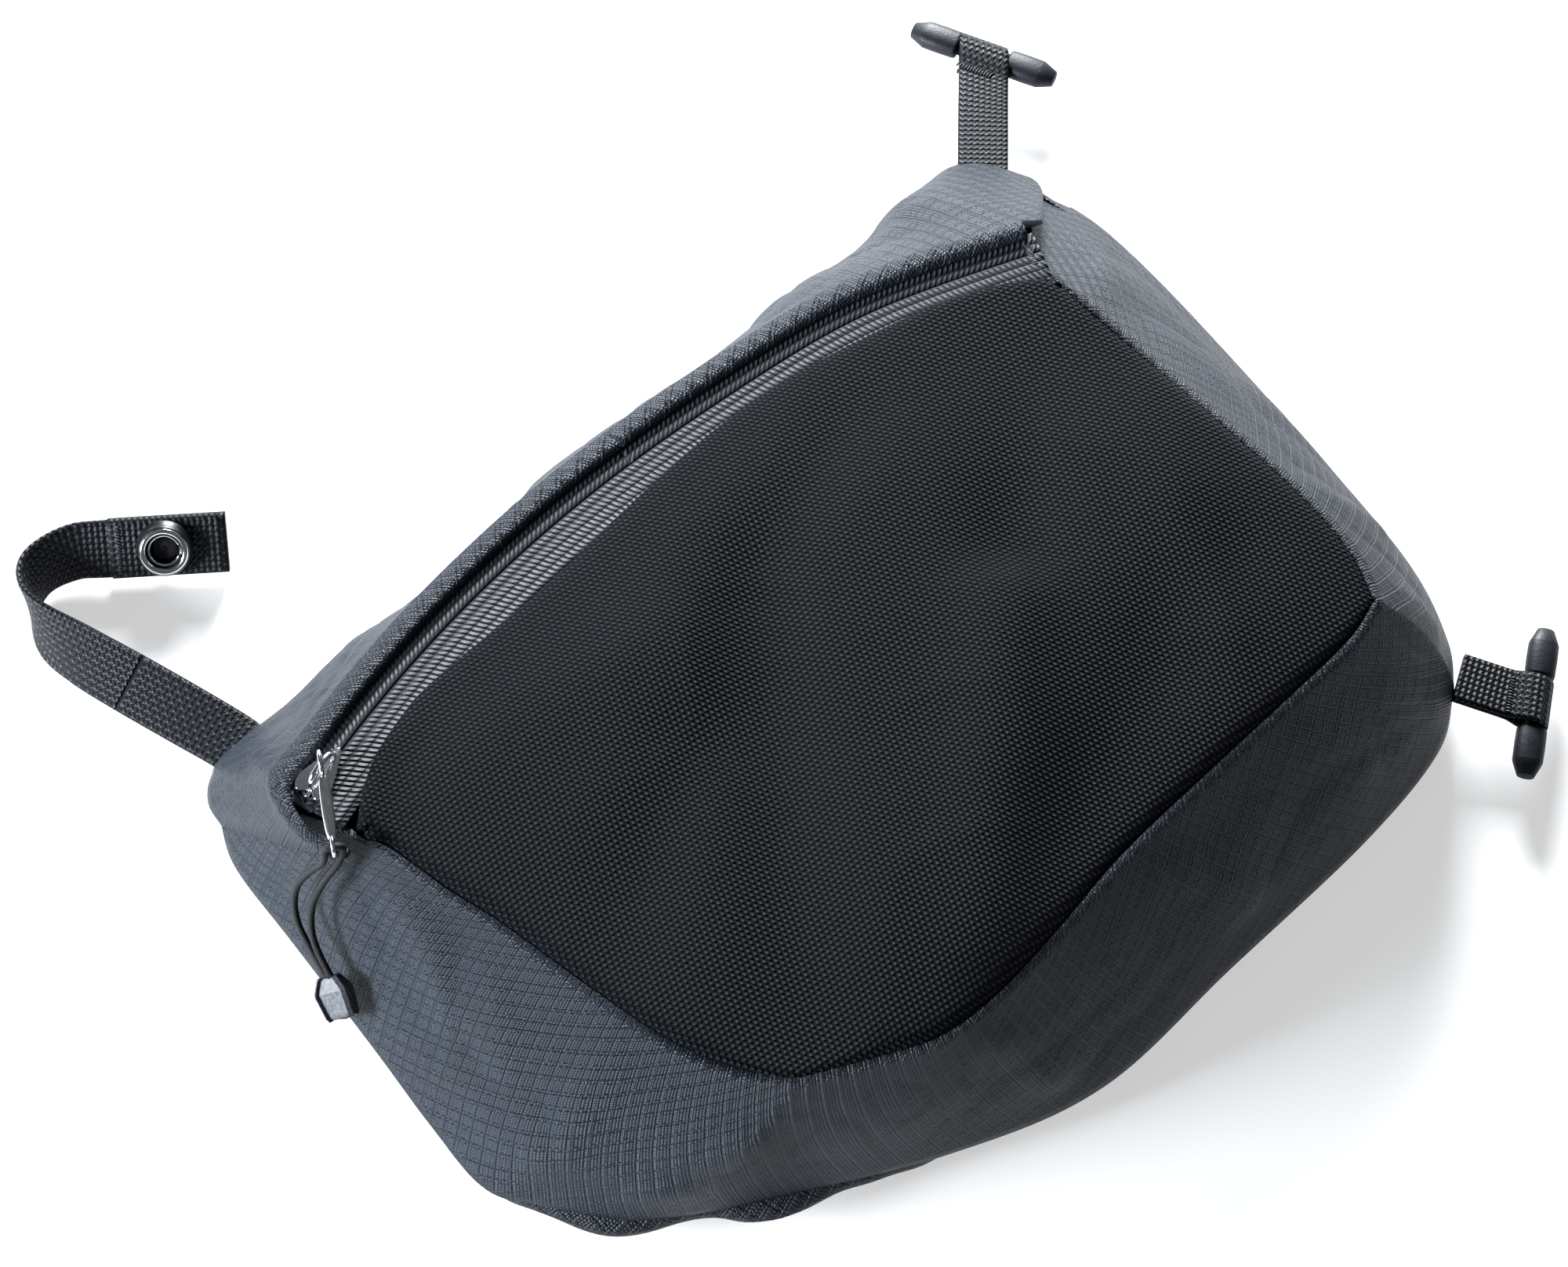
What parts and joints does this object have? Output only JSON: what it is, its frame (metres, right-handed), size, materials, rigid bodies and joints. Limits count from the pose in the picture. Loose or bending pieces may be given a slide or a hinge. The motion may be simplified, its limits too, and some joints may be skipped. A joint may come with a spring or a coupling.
{
  "type": "hanging toiletry bag",
  "caption": "Small zipped fabric pouch with an arched front zip, two webbing tabs with toggles and a snap-fastened webbing strap.",
  "frame": {"origin": "centre of the back panel's flat resting face", "axes": "+X towards the two toggle tabs, +Y towards the zip, +Z out of the front panel"},
  "size_m": [0.2641, 0.2416, 0.0563],
  "materials": {
    "front_weave": "coarse raised polyester weave, matte near-black blue",
    "ripstop": "ripstop nylon with a double-line grid, soft sheen",
    "ripstop_hem": "ripstop nylon, folded and sewn",
    "binding": "plain woven binding tape",
    "zip_tape": "ribbed zip tape",
    "zip_coil": "nylon coil",
    "stitching": "sewing thread",
    "webbing": "ribbed polyester webbing",
    "cord": "braided cord",
    "slider_metal": "polished zinc",
    "snap_black": "glossy black enamel",
    "snap_metal": "nickel plated",
    "toggle_plastic": "moulded nylon, fine texture",
    "cord_end_plastic": "moulded soft plastic, fine texture"
  },
  "bodies": {
    "bag": {"front_panel": "front_weave", "back_panel": "ripstop", "side_gusset": "ripstop", "top_strip_ends": "ripstop", "gusset_hem_left": "ripstop_hem", "gusset_hem_right": "ripstop_hem", "front_seam_binding": "binding", "back_seam_binding": "binding", "zip_tape_lower": "zip_tape", "zip_tape_upper_ends": "zip_tape", "zip_coil_lower": "zip_coil", "zip_coil_upper_ends": "zip_coil", "zip_stops": "stitching", "snap_stud": "snap_metal", "snap_stud_post": "snap_black"},
    "lip": {"top_strip": "ripstop", "zip_tape_upper": "zip_tape", "zip_coil_upper": "zip_coil"},
    "slider": {"zip_slider": "slider_metal", "slider_bridge": "slider_metal"},
    "puller": {"puller_bail": "slider_metal"},
    "cord": {"puller_cord": "cord", "cord_end": "cord_end_plastic"},
    "strap_near": {"strap_root": "webbing"},
    "strap_far": {"strap_tip": "webbing", "strap_hem": "webbing", "snap_socket": "snap_black", "snap_spring": "snap_metal", "snap_cap": "snap_black"},
    "tab_upper": {"tab_upper": "webbing", "tab_upper_tack": "stitching"},
    "toggle_upper": {"toggle_upper": "toggle_plastic"},
    "tab_lower": {"tab_lower": "webbing", "tab_lower_tack": "stitching"},
    "toggle_lower": {"toggle_lower": "toggle_plastic"}
  },
  "joints": [
    {"name": "zip_travel", "type": "hinge", "parent": "bag", "child": "slider", "pos_m": [-0.005, -0.2275, 0.048], "axis": [0, 0, -1], "range_deg": [0, 35], "deforming": ["puller_cord", "cord_end"]},
    {"name": "puller_flip", "type": "hinge", "parent": "slider", "child": "puller", "pos_m": [-0.09701, 0.0491, 0.05325], "axis": [-0.866, 0.5, 0], "range_deg": [0, 165]},
    {"name": "cord_swing", "type": "hinge", "parent": "puller", "child": "cord", "pos_m": [-0.10574, 0.03398, 0.05203], "axis": [-0.866, 0.5, 0], "range_deg": [0, 70]},
    {"name": "mouth_open", "type": "hinge", "parent": "bag", "child": "lip", "pos_m": [0, 0.0852, 0.0093], "axis": [-0.9994, -0.0336, 0], "range_deg": [0, 25]},
    {"name": "tab_upper_flex", "type": "hinge", "parent": "bag", "child": "tab_upper", "pos_m": [0.1122, 0.0888, 0.0098], "axis": [0.7487, -0.6629, 0], "range_deg": [-40, 65]},
    {"name": "toggle_upper_spin", "type": "hinge", "parent": "tab_upper", "child": "toggle_upper", "pos_m": [0.1315, 0.1106, 0.008], "axis": [0.4464, -0.8946, 0.0231], "continuous": true},
    {"name": "tab_lower_flex", "type": "hinge", "parent": "bag", "child": "tab_lower", "pos_m": [0.107, -0.0716, 0.0098], "axis": [-0.8384, -0.545, 0], "range_deg": [-40, 65]},
    {"name": "toggle_lower_spin", "type": "hinge", "parent": "tab_lower", "child": "toggle_lower", "pos_m": [0.1148, -0.0836, 0.008], "axis": [-0.7773, -0.629, -0.013], "continuous": true},
    {"name": "strap_flex", "type": "hinge", "parent": "bag", "child": "strap_near", "pos_m": [-0.099, 0.082, 0.0114], "axis": [0.9786, 0.1897, 0.0799], "range_deg": [-30, 60]},
    {"name": "strap_curl", "type": "hinge", "parent": "strap_near", "child": "strap_far", "pos_m": [-0.1112, 0.1376, 0.007], "axis": [0.0998, 0.3592, 0.9279], "range_deg": [-25, 90]}
  ],
  "couplings": [
    {"joint": "cord_swing", "follows": "zip_travel", "ratio": 2}
  ]
}
